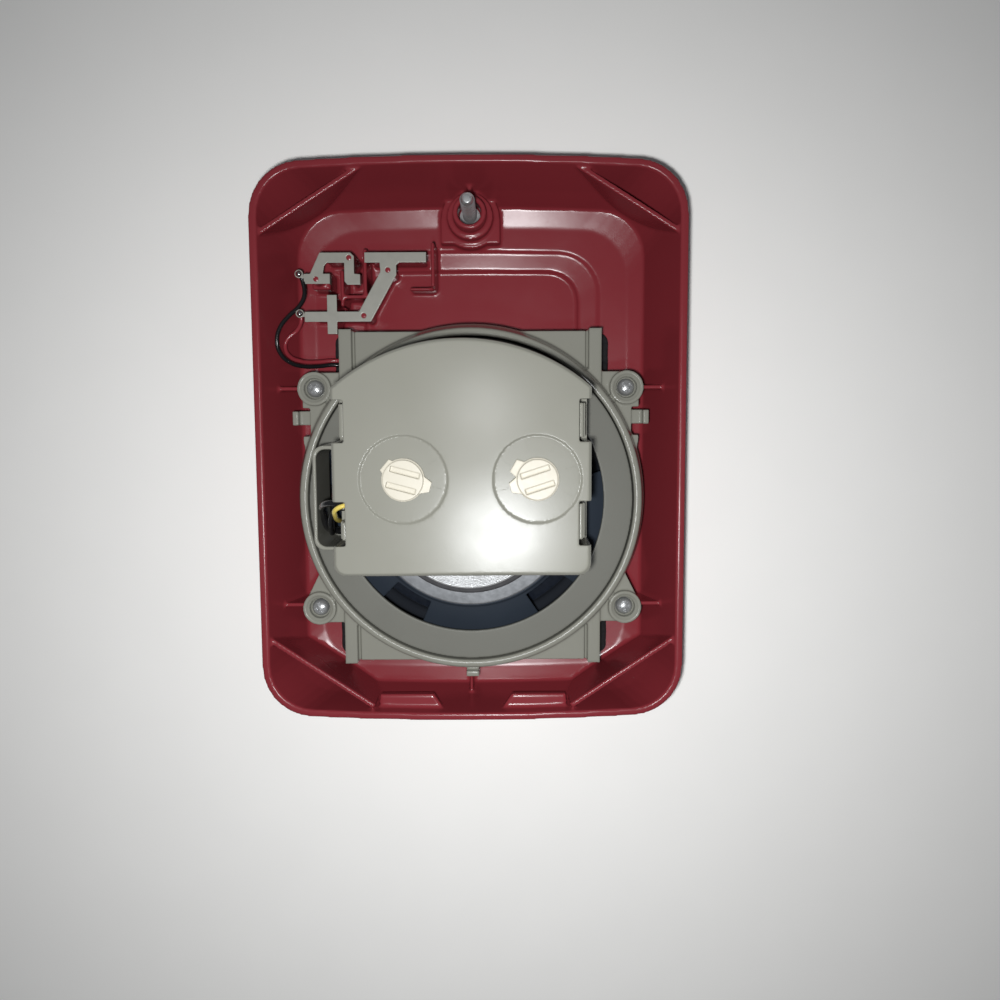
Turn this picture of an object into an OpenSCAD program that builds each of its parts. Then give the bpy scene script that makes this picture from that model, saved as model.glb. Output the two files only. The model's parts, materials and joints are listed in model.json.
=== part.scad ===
// Wall speaker for a fire alarm system, lying on its front grille with its wall side up.
// Origin: centre of the cover's footprint, on the plane that the front grille rests on. +Z: towards the wall.

/* [Cover] */
// Width of the cover at its wall rim
cover_w = 127; // [125:0.5:130]
// Height of the cover at its wall rim
cover_h = 167; // [165:0.5:170]
// Depth from the front grille to the wall rim
cover_d = 33; // [32.5:0.5:34]
// Sagitta of the bowed top and bottom edges
cover_bow = 2.3; // [1.5:0.1:3]
// Thickness of the front panel at the grille
panel_t = 2.5; // [2:0.1:3]
// Number of slots in the grille
slot_count = 15; // [9:2:17]
// Width of one grille slot
slot_w = 2.4; // [1.5:0.1:3]

/* [Speaker frame] */
// Outside radius of the round speaker frame
ring_r = 50.8; // [50.5:0.1:51]
// Centre of the driver below the centre of the cover
ring_drop = 16.2; // [16:0.1:16.4]
// Width of the rectangular base under the ring
wing_w = 78; // [76:0.5:80]
// Height of the rectangular base under the ring
wing_h = 100; // [98:0.5:101]
// Sideways distance of a screw ear from the middle
ear_x = 46.4; // [46:0.1:47]
// Distance of a screw ear above or below the driver's centre
ear_y = 33.2; // [33:0.1:34]

/* [Driver] */
// Radius of the ferrite magnet
magnet_r = 25; // [24:0.1:27]
// Radius of the bright back plate
back_plate_r = 23.1; // [22:0.1:24]
// Radius of the voice coil former
former_r = 9.6; // [9.5:0.05:9.7]

/* [Rear housing] */
// Width of the rear housing
house_w = 66.9; // [66:0.1:68]
// Lower edge of the rear housing
house_bottom = -31.6; // [-32:0.1:-31]
// Crown of the arched upper edge
house_top = 29.7; // [29:0.1:30]
// Sideways shift of the rear housing
house_x = -1.2; // [-1.5:0.1:-1]
// Height of the rear housing's outer face
house_z = 72; // [71.5:0.5:73]
// Wall of the rear housing
house_wall = 1.8; // [1.6:0.1:2]

/* [Selectors] */
// Place of the voltage selector
volt_x = -16.2; // [-16.5:0.1:-16]
// Place of the power selector
power_x = 18.3; // [18:0.1:18.5]
// Height of both selectors on the housing
dial_y = -6.4; // [-6.6:0.1:-6.2]
// Radius of the recessed dial round a selector
dial_r = 11.5; // [11:0.1:11.8]
// Radius of a selector's shaft
shaft_r = 2.5; // [2.4:0.05:2.6]

/* [Cover screw] */
// Outside radius of the screw's thread
screw_r = 2.08; // [2:0.01:2.2]
// Height of the screw's tip
screw_tip = 47; // [46:0.5:48]
// Place of the screw above the centre of the cover
screw_y = 68.5; // [68:0.1:69]

/* [Hidden] */
$fn = 96;

red = [0.50, 0.13, 0.17];
grey = [0.58, 0.58, 0.54];
dark_grey = [0.42, 0.42, 0.39];
navy = [0.13, 0.16, 0.22];
steel = [0.75, 0.75, 0.73];
ivory = [0.90, 0.88, 0.80];
black = [0.06, 0.06, 0.07];

eps = 0.01;
ring_y = -ring_drop;
half_w = cover_w / 2;
half_h = cover_h / 2;
side_pairs = [-1, 1];

// Heights that stack up from the grille to the wall side
gasket_z = 10.2;
gasket_t = 2;
seat_z = gasket_z + gasket_t;      // front of the speaker frame and of the driver
ledge_z = 14.4;                    // ledge that clamps the basket's flange
shroud_z = 24;                     // foot of the shroud's skirt
wing_z = 27;                       // back of the rectangular base
ear_z = 29.5;                      // back of the screw ears
ring_z = 33.5;                     // back of the ring
basket_z = 36;                     // back of the basket
plate_z = 40;                      // back of the top plate
magnet_z = 47;                     // back of the magnet
yoke_z = 50;                       // back of the back plate
tray_z = 51;                       // front of the housing's tray
tray_t = 2;
board_z = 55;
board_t = 1.6;
bar_z = 27.9;                      // front of the bus bars
bar_t = 0.5;

// Round features of the ring
ring_in = ring_r - 2.4;
ledge_in = 46;
chamber_r = 44.8;

// ---------- shared shapes ----------

function arc(cx, cy, r, a0, a1, n) =
    [for (i = [0:n]) let (a = a0 + (a1 - a0) * i / n) [cx + r * cos(a), cy + r * sin(a)]];

corner_steps = 7;
bow_steps = 6;

// Outline with bowed top and bottom: level = [half width, top, bottom, corner radius, z]
function outline(level) =
    let (hw = level[0], top = level[1], bottom = level[2], r = level[3],
         bow = cover_bow * pow(hw / half_w, 2),
         big = (hw * hw + bow * bow) / (2 * bow),
         lift = sqrt(pow(big - r, 2) - pow(hw - r, 2)),
         turn = atan2(lift, hw - r),
         top_c = top - big, bottom_c = bottom + big)
    concat(
        arc(hw - r, top_c + lift, r, 0, turn, corner_steps),
        [for (i = [1:bow_steps - 1]) let (a = turn + (180 - 2 * turn) * i / bow_steps)
            [big * cos(a), top_c + big * sin(a)]],
        arc(r - hw, top_c + lift, r, 180 - turn, 180, corner_steps),
        arc(r - hw, bottom_c - lift, r, 180, 180 + turn, corner_steps),
        [for (i = [1:bow_steps - 1]) let (a = 180 + turn + (180 - 2 * turn) * i / bow_steps)
            [big * cos(a), bottom_c + big * sin(a)]],
        arc(hw - r, bottom_c - lift, r, 360 - turn, 360, corner_steps));

// Closed solid through a stack of outlines, lowest first
module loft(levels) {
    rings = [for (level = levels) [for (p = outline(level)) [p[0], p[1], level[4]]]];
    count = len(rings[0]);
    last = len(rings) - 1;
    points = [for (ring = rings) each ring];
    sides = [for (k = [0:last - 1]) for (i = [0:count - 1])
        let (j = (i + 1) % count)
        [k * count + i, (k + 1) * count + i, (k + 1) * count + j, k * count + j]];
    polyhedron(points, concat([[for (i = [0:count - 1]) i]],
        [[for (i = [count - 1:-1:0]) last * count + i]], sides), convexity = 8);
}

// Upright wall of thickness t from point p to point q
module wall(p, q, t, z0, z1) {
    run = q - p;
    translate([p[0], p[1], z0]) rotate([0, 0, atan2(run[1], run[0])])
        translate([0, -t / 2, 0]) cube([norm(run), t, z1 - z0]);
}

module box(low, high) {
    translate(low) cube(high - low);
}

module disc(x, y, r, z0, z1) {
    translate([x, y, z0]) cylinder(r = r, h = z1 - z0);
}

module tube(x, y, r_out, r_in, z0, z1) {
    difference() {
        disc(x, y, r_out, z0, z1);
        disc(x, y, r_in, z0 - 1, z1 + 1);
    }
}

// Rectangle with round corners, from circles and squares
module round_rect(low, high, r) {
    size = high - low;
    translate(low + [r, 0]) square([size[0] - 2 * r, size[1]]);
    translate(low + [0, r]) square([size[0], size[1] - 2 * r]);
    for (x = [low[0] + r, high[0] - r], y = [low[1] + r, high[1] - r]) translate([x, y]) circle(r = r);
}

module around_driver() {
    translate([0, ring_y, 0]) children();
}

module at_ears() {
    for (sx = side_pairs, sy = side_pairs) translate([sx * ear_x, ring_y + sy * ear_y, 0]) children();
}

// Wire swept along its route, with a ring of points at every point of the route
wire_sides = 8;
function unit(v) = v / norm(v);
function across(t) = unit(cross(t, abs(t[2]) > 0.8 ? [1, 0, 0] : [0, 0, 1]));
function heading(route, i) =
    unit(route[min(i + 1, len(route) - 1)] - route[max(i - 1, 0)]);
function ring_frames(route, i = 0, side = undef) =
    let (t = heading(route, i),
         u = side == undef ? across(t) : unit(side - (side * t) * t))
    concat([[route[i], u, cross(t, u)]], i + 1 < len(route) ? ring_frames(route, i + 1, u) : []);

module wire(route, r) {
    frames = ring_frames(route);
    last = len(route) - 1;
    points = [for (f = frames) for (k = [0:wire_sides - 1])
        let (a = 360 * k / wire_sides) f[0] + r * (cos(a) * f[1] + sin(a) * f[2])];
    sides = [for (i = [0:last - 1]) for (k = [0:wire_sides - 1])
        let (n = (k + 1) % wire_sides)
        [i * wire_sides + k, i * wire_sides + n, (i + 1) * wire_sides + n, (i + 1) * wire_sides + k]];
    polyhedron(points, concat([[for (k = [wire_sides - 1:-1:0]) k]],
        [[for (k = [0:wire_sides - 1]) last * wire_sides + k]], sides), convexity = 6);
}

// ---------- cover ----------

rim_t = 2.2;
shell_levels = [
    [33, 53.2, -59.7, 9, 4.7],
    [39, 58.5, -66, 12.5, 5.9],
    [47.8, 66, -72.5, 14.5, 6.9],
    [53.4, 72.4, -77.8, 14.8, 8.6],
    [56.2, 75.4, -80.4, 15, 11.4],
    [58.9, 78.8, -81.9, 15.2, 18],
    [half_w - 0.3, half_h - 0.3, 0.3 - half_h, 15.4, cover_d - 3],
    [half_w, half_h, -half_h, 15.5, cover_d]];
cavity_levels = [
    [33.1, 53.2, -59.6, 9, 7.2],
    [33.5, 53.6, -60, 9.4, 8.2],
    [39.6, 59.1, -66.6, 12.6, 8.8],
    [40, 59.5, -67, 13, 9.3],
    [48.7, 66.3, -73, 15, 9.7],
    [53.7, 72.4, -78, 14.5, 10.9],
    [56.5, 76, -79.5, 14, 19],
    [half_w - rim_t, half_h - rim_t, rim_t - half_h, 13.3, cover_d + eps],
    [half_w - rim_t, half_h - rim_t, rim_t - half_h, 13.3, cover_d + 1]];
panel_levels = [
    [45, 29, -61, 16, 0],
    [47, 31, -63, 18, 1.2],
    [49.5, 33.5, -65.5, 20.5, 9]];

slot_field_r = 38;
slot_pitch = 2 * slot_field_r / (slot_count + 1);

module grille_slots() {
    around_driver() for (i = [0:slot_count - 1]) {
        x = (i + 1 - (slot_count + 1) / 2) * slot_pitch;
        reach = sqrt(slot_field_r * slot_field_r - x * x) - slot_w / 2;
        translate([x, 0, -1]) linear_extrude(panel_t + 2) {
            translate([-slot_w / 2, -reach]) square([slot_w, 2 * reach]);
            for (s = side_pairs) translate([0, s * reach]) circle(d = slot_w, $fn = 24);
        }
    }
}

boss_top = 26;
boss_r = 5;
boss_bore_r = 3.5;
head_bore_r = 4.6;
ledge_low = 14;
ledge_high = 16;

module screw_boss() {
    disc(0, screw_y, boss_r, 8, boss_top);
    disc(0, screw_y, 6.9, 8, 19);
    disc(0, screw_y, 9, 8, 14.5);
    box([-9, 61, 8], [9, screw_y, 14.5]);
    box([-0.6, screw_y, 14], [0.6, 80, 22]);
}

module screw_boss_holes() {
    disc(0, screw_y, head_bore_r, 0, ledge_low);
    disc(0, screw_y, 2.3, ledge_low - 1, ledge_high + 1);
    disc(0, screw_y, boss_bore_r, ledge_high, boss_top + 1);
}

gusset_t = 1.6;
module corner_gussets() {
    for (s = side_pairs) {
        wall([s * 62.5, 61.1], [s * 31.6, 80.5], gusset_t, 8, cover_d - 1);
        wall([s * 62.5, -57.6], [s * 30, -79.4], gusset_t, 8, cover_d - 1);
    }
}

module bottom_hooks() {
    for (s = side_pairs) translate([0, 0, 26.5]) linear_extrude(2.5)
        polygon([[s * 8, -82.5], [s * 28.6, -82.5], [s * 28.6, -76.5], [s * 12, -76.5]]);
}

post_r = 3.6;
pilot_r = 1.5;
module ear_posts() {
    at_ears() tube(0, 0, post_r, pilot_r, 4, 24);
    for (sx = side_pairs, sy = side_pairs)
        wall([sx * (ear_x + 3), ring_y + sy * ear_y], [sx * 60, ring_y + sy * ear_y], 1.1, 8, 24);
    wall([-0.7, -82], [-0.7, -69.8], 1.1, 8, 18);
}

// Stakes and walls that carry the bus bars
bar_holes = [[-45.2, 49.1], [-35.4, 55.2], [-24, 51.6], [-31.3, 38.4]];
module bar_supports() {
    for (p = bar_holes) {
        disc(p[0], p[1], 1.5, 8, bar_z);
        disc(p[0], p[1], 0.6, 8, bar_z + bar_t - 0.15);
    }
    wall([-43.5, 55.2], [-35.4, 55.2], 1.1, 8, bar_z);
    wall([-30, 55.2], [-13.6, 55.2], 1.1, 8, bar_z);
    wall([-47.6, 38.1], [-31.3, 38.1], 1.1, 8, bar_z);
    wall([-40.6, 33.8], [-40.6, 44], 1.1, 8, bar_z);
    wall([-35.4, 48.2], [-35.4, 55.2], 1.1, 8, bar_z);
    wall([-24, 51.6], [-31.3, 38.4], 1.1, 8, bar_z);
    wall([-31.6, 44.5], [-31.6, 58.5], 1.1, 8, 22);
    wall([-38.5, 44.5], [-29.4, 44.5], 1.1, 8, 22);
    wall([-38.5, 41.5], [-38.5, 52.5], 1.1, 8, 22);
    wall([-11, 47], [-11, 60], 1.1, 8, 25);
    wall([-18.5, 47], [-11, 47], 1.1, 8, 18);
    box([-47.5, 46.6, 8], [-42, 51.6, 22]);
}

module ejector_marks() {
    for (p = [[-47.2, -38.5], [47.4, -38.5], [32.5, 62.3], [47.6, 54.6], [-17, 34.8]])
        disc(p[0], p[1], 2, 8, p[0] < 0 && p[1] > 0 ? 7.5 : 11.3);
}

module cover() {
    color(red) difference() {
        union() {
            loft(shell_levels);
            loft(panel_levels);
        }
        difference() {
            loft(cavity_levels);
            screw_boss();
            corner_gussets();
            bottom_hooks();
            ear_posts();
            bar_supports();
            around_driver() tube(0, 0, chamber_r + 2.2, chamber_r, 4, gasket_z);
        }
        around_driver() disc(0, 0, chamber_r, panel_t, 11);
        screw_boss_holes();
        grille_slots();
    }
}

// ---------- front parts ----------

cloth_t = 0.5;
module grille_cloth() {
    color(black) around_driver() disc(0, 0, slot_field_r + 3, panel_t, panel_t + cloth_t);
}

gasket_half_w = 42.6;
module foam_gasket() {
    color(black) difference() {
        translate([0, 0, gasket_z]) linear_extrude(gasket_t) {
            round_rect([-gasket_half_w, ring_y - 52], [gasket_half_w, ring_y + 50], 3);
            translate([0, ring_y]) circle(r = 47.8);
        }
        around_driver() disc(0, 0, 43.2, 0, 20);
        at_ears() disc(0, 0, post_r + 0.4, 0, 20);
    }
}

// ---------- speaker frame ----------

wing_wall = 2;
rail_w = 3.8;
module frame_wings() {
    difference() {
        union() {
            box([-wing_w / 2, ring_y - wing_h / 2, seat_z], [wing_w / 2, ring_y + wing_h / 2, wing_z]);
            for (s = side_pairs) translate([s * (wing_w - rail_w) / 2, ring_y, 0])
                box([-rail_w / 2, -wing_h / 2 - 0.7, seat_z], [rail_w / 2, wing_h / 2 + 0.7, wing_z + 1.4]);
        }
        box([-wing_w / 2 + wing_wall, ring_y - wing_h / 2 + wing_wall, seat_z - 1],
            [wing_w / 2 - wing_wall, ring_y + wing_h / 2 - wing_wall, wing_z - 2.2]);
        for (s = side_pairs) translate([s * (wing_w / 2 - rail_w - 0.4), ring_y, 0])
            box([-0.4, -wing_h, wing_z - 1], [0.4, wing_h, wing_z + 1]);
    }
}

module frame_ring() {
    around_driver() rotate_extrude() polygon([
        [ledge_in, ledge_z], [ledge_in, shroud_z], [ring_in, shroud_z], [ring_in, ring_z - 0.4],
        [ring_in + 0.4, ring_z], [ring_r - 0.8, ring_z], [ring_r - 0.2, ring_z - 0.4],
        [ring_r, ring_z - 1], [ring_r + 0.9, wing_z + 1.2], [ring_r + 1.4, wing_z - 0.4],
        [ring_r + 1.4, wing_z - 2.4], [ring_r - 0.1, seat_z], [ring_in - 0.2, seat_z], [ring_in - 0.2, ledge_z]]);
}

ear_r = 5;
web_z = 27.6;
module ear_webs() {
    for (s = side_pairs) translate([0, 0, web_z - 3]) linear_extrude(3) {
        polygon([[s * 34, ring_y + ear_y + 4.8], [s * ear_x, ring_y + ear_y + 4.8], [s * 50.3, ring_y + ear_y],
            [s * 50.3, ring_y + 18], [s * 49.6, ring_y + 13], [s * 34, ring_y + 13]]);
        polygon([[s * 34, ring_y - ear_y - 4.6], [s * ear_x, ring_y - ear_y - 4.9], [s * 51, ring_y - ear_y + 1.6],
            [s * 46.6, ring_y - 23], [s * 34, ring_y - 23]]);
    }
}

module ear_collars() {
    at_ears() {
        tube(0, 0, ear_r, 4, web_z - 3, ear_z);
        tube(0, 0, 4.4, 3.1, web_z - 3, ear_z - 0.5);
        tube(0, 0, 3.6, 1.8, web_z - 3, web_z - 1);
    }
}

clip_y = 24.4;
module both_sides() {
    children();
    mirror([1, 0, 0]) children();
}

module side_clips() {
    both_sides() translate([50.4, ring_y + clip_y, 0]) {
        box([-3.2, -2.1, 24.6], [2.6, 2.1, 26.2]);
        box([1, -2.1, 24.6], [2.8, 2.1, 28.4]);
    }
    around_driver() {
        box([-1.9, -54.6, 24.5], [1.9, -50, 27.5]);
        box([-1.9, -54.6, 24.5], [1.9, -52.9, 29.2]);
    }
}

lead_gate = [[-42, 20.5, 13.5], [-34, 27.5, 20]];
ring_gate = [[-42, 9.4, 14], [-32, 22.4, 24.5]];
module speaker_frame() {
    color(grey) difference() {
        union() {
            difference() {
                union() {
                    frame_wings();
                    ear_webs();
                }
                around_driver() disc(0, 0, ring_in, 0, 50);
                at_ears() disc(0, 0, 4.2, 0, 50);
                both_sides() translate([50.4, ring_y + clip_y - 1.2, 0]) box([-2.4, -4.2, 20], [3, 4.2, 40]);
            }
            frame_ring();
            ear_collars();
            side_clips();
        }
        box(lead_gate[0], lead_gate[1]);
        box(ring_gate[0], ring_gate[1]);
    }
}

head_r = 2.7;
module frame_screws() {
    color(steel) at_ears() difference() {
        union() {
            disc(0, 0, pilot_r - 0.05, 12, web_z - 0.9);
            disc(0, 0, head_r, web_z - 1, web_z + 0.7);
            translate([0, 0, web_z + 0.7]) cylinder(r1 = head_r, r2 = 1.8, h = 0.6);
        }
        translate([0, 0, web_z + 0.2]) cylinder(r = 1.05, h = 3, $fn = 6);
    }
}

// ---------- driver ----------

shroud_in = 39.4;
post_spots = [[-29, 13.5], [26.6, 13.5], [-1, 25]];
wire_slot = [[-42, -24, 20], [-36.4, -1, 40]];

module driver_shroud() {
    color(dark_grey) difference() {
        union() {
            around_driver() rotate_extrude() polygon([
                [ring_in - 2.2, shroud_z], [ring_in - 0.35, shroud_z], [ring_in - 0.35, ring_z - 1.6],
                [shroud_in, ring_z - 0.4], [shroud_in, ring_z - 2.2], [ring_in - 2.2, ring_z - 3.4]]);
            for (p = post_spots) disc(p[0], p[1], 3, ring_z - 2.4, tray_z);
        }
        for (p = post_spots) disc(p[0], p[1], 1.2, tray_z - 9, tray_z + 1);
        box(wire_slot[0], wire_slot[1]);
        box(ring_gate[0], ring_gate[1]);
    }
}

window_count = 5;
window_angle = 20;
first_window = 238;
sheet_t = 0.9;

module basket_window(a) {
    half = window_angle / 2;
    rotate([0, 0, a]) translate([0, 0, 15]) linear_extrude(19)
        polygon([[32.6 * cos(half), -32.6 * sin(half)], [60, -60 * tan(half)],
            [60, 60 * tan(half)], [32.6 * cos(half), 32.6 * sin(half)]]);
}

module basket() {
    lip = seat_z + 0.5;
    color(navy) around_driver() difference() {
        union() {
            rotate_extrude() polygon([
                [47.2, lip], [47.2, lip + sheet_t], [45.4, lip + sheet_t], [43.4, 21], [41.3, 27],
                [31.6, 34.8], [31, basket_z], [11.4, basket_z], [11.4, basket_z - sheet_t],
                [30.2, basket_z - sheet_t], [30.8, 34.3], [40.5, 26.6], [42.5, 20.8], [44.4, lip]]);
            tube(0, 0, 30.4, 28.2, 31.5, basket_z - sheet_t / 2);
        }
        for (i = [0:window_count - 1]) basket_window(first_window + i * 360 / window_count);
    }
}

strip_angle = 207;
module terminal_strip() {
    color([0.45, 0.30, 0.16]) around_driver() rotate([0, 0, strip_angle]) translate([35.2, 0, 32.55])
        rotate([0, 38.8, 0]) {
            box([-2, -5, 0], [2, 5, 0.8]);
            for (s = side_pairs) translate([0, s * 2.8, 0]) box([-1.2, -0.9, 0.8], [1.2, 0.9, 1.1]);
        }
}

gap_out = former_r + 1.2;
module top_plate() {
    color(steel) around_driver() tube(0, 0, 29.9, gap_out, basket_z, plate_z);
}

module magnet() {
    color([0.17, 0.17, 0.18]) around_driver() tube(0, 0, magnet_r, 14, plate_z, magnet_z);
}

pole_r = former_r - 0.5;
module back_plate() {
    color(steel) around_driver() {
        disc(0, 0, back_plate_r, magnet_z, yoke_z);
        disc(0, 0, pole_r, basket_z, magnet_z + eps);
    }
}

cone_front = seat_z + 0.25;
cone_r = 39.3;
neck_z = 29.6;
paper_t = 0.5;
module cone() {
    color(black) around_driver() rotate_extrude() polygon([
        [cone_r, cone_front - 0.25], [cone_r, cone_front + paper_t], [24, cone_front + 10.2],
        [former_r + 0.75, neck_z], [former_r + 0.2, neck_z], [former_r + 0.2, neck_z - paper_t],
        [23.6, cone_front + 9.4], [cone_r - 1.6, cone_front - 0.25]]);
}

module dust_cap() {
    cap_z = neck_z - 1.5;
    color(black) around_driver() rotate_extrude() polygon([
        [0, cap_z - 4], [4, cap_z - 3.4], [8, cap_z - 1.6], [9.5, cap_z], [8.9, cap_z + 0.3],
        [7.6, cap_z - 1.1], [3.8, cap_z - 2.9], [0, cap_z - 3.5]]);
}

module voice_coil_former() {
    color([0.72, 0.52, 0.30]) around_driver() tube(0, 0, former_r + 0.15, former_r, neck_z - 1.4, plate_z + 1.5);
}

module voice_coil() {
    color([0.72, 0.38, 0.20]) around_driver()
        tube(0, 0, former_r + 0.55, former_r + 0.15, basket_z - 0.6, plate_z + 0.8);
}

roll_r = 2.2;
roll_t = 0.5;
roll_mid = (cone_r + 44.1) / 2;
module surround() {
    roll = [for (a = [0:20:180]) [roll_mid + roll_r * cos(a), seat_z + roll_t + roll_r * sin(a)]];
    under = [for (a = [180:-20:0]) [roll_mid + (roll_r - roll_t) * cos(a), seat_z + (roll_r - roll_t) * sin(a)]];
    color(black) around_driver() rotate_extrude()
        polygon(concat([[47.2, seat_z], [47.2, seat_z + roll_t]], roll,
            [[cone_r + 0.05, seat_z + roll_t], [cone_r + 0.05, seat_z]], under));
}

spider_z = 31;
spider_t = 0.4;
waves = 6;
module spider() {
    inner = former_r + 0.3;
    outer = 29.8;
    pitch = (27.6 - inner - 1) / (2 * waves);
    crests = [for (i = [0:2 * waves]) [inner + 1 + i * pitch, spider_z + (i % 2 == 0 ? 0 : -1)]];
    color([0.75, 0.66, 0.45]) around_driver() rotate_extrude() polygon(concat(
        [[inner, spider_z]], crests, [[outer, spider_z], [outer, spider_z + spider_t]],
        [for (i = [2 * waves:-1:0]) crests[i] + [0, spider_t]], [[inner, spider_z + spider_t]]));
}

// ---------- rear housing ----------

arch_y = 17.2;
corner_r = 3;

// Outline of the rear housing, drawn in by inset
module house_outline(inset) {
    half = house_w / 2;
    rise = house_top - arch_y;
    big = (half * half + rise * rise) / (2 * rise);
    translate([house_x, 0]) intersection() {
        round_rect([inset - half, house_bottom + inset], [half - inset, house_top + corner_r], corner_r - inset / 2);
        translate([0, house_top - big]) circle(r = big - inset, $fn = 200);
    }
}

// Left and right windows in the side walls: [low y, high y]
window_spans = [[3.2, 14.1], [-23.7, -12.2]];
window_depth = 3.2;

cover_foot = 54;
module housing_cover() {
    color(grey) difference() {
        union() {
            translate([0, 0, cover_foot]) linear_extrude(house_z - 0.7 - cover_foot) house_outline(0);
            translate([0, 0, house_z - 0.8]) linear_extrude(0.45) house_outline(0.25);
            translate([0, 0, house_z - 0.4]) linear_extrude(0.4) house_outline(0.7);
        }
        translate([0, 0, cover_foot - 1]) linear_extrude(house_z - house_wall - cover_foot + 1)
            house_outline(house_wall);
        for (x = [volt_x, power_x]) {
            tube(x, dial_y, dial_r, dial_r - 0.4, house_z - 0.6, house_z + 1);
            disc(x, dial_y, dial_r - 0.2, house_z - 0.3, house_z + 1);
            disc(x, dial_y, shaft_r + 0.5, house_z - 5, house_z + 1);
        }
        for (span = window_spans, s = side_pairs) translate([house_x + s * house_w / 2, 0, 0])
            box([-window_depth, span[0], cover_foot + 3], [window_depth, span[1], house_z + 1]);
    }
}

tongue_t = 1;
wire_entry = 4.6;                  // part of the lower left window that is left to the leads
module snap_tongues() {
    for (span = window_spans, s = side_pairs)
        translate([house_x + s * (house_w / 2 - house_wall - 0.15 - tongue_t / 2), 0, 0]) {
            tip = span[1] - (s < 0 && span[1] < 0 ? wire_entry + 1 : 1);
            box([-tongue_t / 2, span[0] + 1, tray_z], [tongue_t / 2, tip, 68.5]);
            translate([s * 0.6, 0, 0]) box([-0.7, span[0] + 1, 64], [0.7, tip, 66]);
        }
}

channel_x = -42.5;
channel_span = [-27.2, 1.6];
channel_t = 1;
channel_z = 56;

module channel_outline(inset) {
    round_rect([channel_x + inset, channel_span[0] + inset], [-30, channel_span[1] - inset], 3 - inset / 2);
}

board_posts = [[-27, -26], [25, -26], [-27, 5], [25, 5]];
module housing_base() {
    color(grey) difference() {
        union() {
            translate([0, 0, tray_z]) linear_extrude(5) house_outline(house_wall + 0.15);
            snap_tongues();
            translate([0, 0, ring_z + 0.6]) linear_extrude(channel_z - ring_z - 0.6) difference() {
                channel_outline(0);
                channel_outline(channel_t);
                translate([house_x - house_w / 2 + 1.9, -40]) square([20, 60]);
            }
            box([-33, channel_span[0], tray_z], [-31, channel_span[1], tray_z + tray_t]);
        }
        translate([0, 0, tray_z + tray_t]) linear_extrude(board_z - tray_z - tray_t) difference() {
            house_outline(house_wall + 1.6);
            for (p = board_posts) translate(p) circle(r = 2);
        }
        translate([0, 0, board_z]) linear_extrude(5) house_outline(house_wall + 1.6);
        for (p = post_spots) {
            disc(p[0], p[1], 1.6, tray_z - 1, tray_z + tray_t);
            disc(p[0], p[1], 2.6, tray_z + tray_t, tray_z + 5);
        }
        box([house_x - house_w / 2 - 0.15, channel_span[0] - 1, cover_foot - 0.2],
            [house_x - house_w / 2 + house_wall + 0.1, channel_span[1] + 1, channel_z + 1]);
    }
}

module housing_screws() {
    color(steel) for (p = post_spots) {
        disc(p[0], p[1], 1.15, tray_z - 7, tray_z + tray_t + 0.1);
        disc(p[0], p[1], 2.3, tray_z + tray_t, tray_z + tray_t + 1.4);
    }
}

module circuit_board() {
    color([0.10, 0.32, 0.16]) difference() {
        translate([0, 0, board_z]) linear_extrude(board_t) house_outline(house_wall + 2.2);
        for (x = [volt_x, power_x]) disc(x, dial_y, 1.6, board_z - 1, board_z + 3);
    }
}

module transformer_core() {
    color([0.32, 0.32, 0.34]) translate([1, 13.5, board_z + board_t]) difference() {
        box([-13, -5.5, 0], [13, 5.5, 12.5]);
        for (s = side_pairs) translate([s * 6.8, 0, 0]) box([-2.6, -6, 2.6], [2.6, 6, 9.9]);
    }
}

module transformer_winding() {
    color([0.78, 0.62, 0.24]) translate([1, 13.5, board_z + board_t]) difference() {
        box([-9.1, -8.2, 2.8], [9.1, 8.2, 9.7]);
        box([-4.2, -9, 0], [4.2, 9, 13]);
        for (s = side_pairs) translate([s * 12.7, 0, 0]) box([-3.4, -5.6, 0], [3.4, 5.6, 12]);
    }
    color([0.78, 0.62, 0.24]) for (s = side_pairs) translate([1, 13.5 + s * 6.9, board_z + board_t])
        box([-4.3, -1.3, 2.8], [4.3, 1.3, 9.7]);
}

module blocking_capacitor() {
    color([0.12, 0.14, 0.30]) translate([-7, -23.5, board_z + board_t + 4.1]) rotate([0, 90, 0]) cylinder(r = 4, h = 14);
}

switch_half = 6.6;
switch_top = 68;
module rotary_switch(x) {
    color([0.16, 0.16, 0.17]) difference() {
        union() {
            translate([x, dial_y, board_z + board_t]) box([-switch_half, -switch_half, 0], [switch_half, switch_half, 8]);
            disc(x, dial_y, 5, board_z + board_t, switch_top);
        }
        disc(x, dial_y, shaft_r + 0.05, board_z + board_t + 2, switch_top + 1);
    }
}

module voltage_switch() { rotary_switch(volt_x); }
module power_switch() { rotary_switch(power_x); }

knob_r = 5.6;
knob_foot = house_z - 0.3;
knob_flange = 0.9;
knob_top = 73.6;

// Selector knob; pointer and tab are angles, tab_r is how far the tab reaches
module knob(x, pointer, tab, tab_r) {
    color(ivory) translate([x, dial_y, 0]) {
        difference() {
            union() {
                disc(0, 0, knob_r, knob_foot, knob_foot + knob_flange);
                disc(0, 0, knob_r - 0.4, knob_foot, knob_top);
                translate([0, 0, knob_foot]) linear_extrude(knob_flange + 0.2) rotate(pointer)
                    polygon([[3, -3.2], [6.4, -1.7], [7.3, -1.3], [7.3, 1.3], [6.4, 1.7], [3, 3.2]]);
                translate([0, 0, knob_foot]) linear_extrude(knob_flange) rotate(tab)
                    polygon([[2, -3], [tab_r, -1.8], [tab_r, 1.8], [2, 3]]);
            }
            rotate([0, 0, pointer]) for (s = side_pairs) translate([0, s * 2.1, 0])
                box([-3.9, -0.75, knob_foot + knob_flange], [3.9, 0.75, knob_top + 1]);
        }
        disc(0, 0, shaft_r, board_z + board_t + 2.5, knob_foot + 0.2);
    }
}

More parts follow.
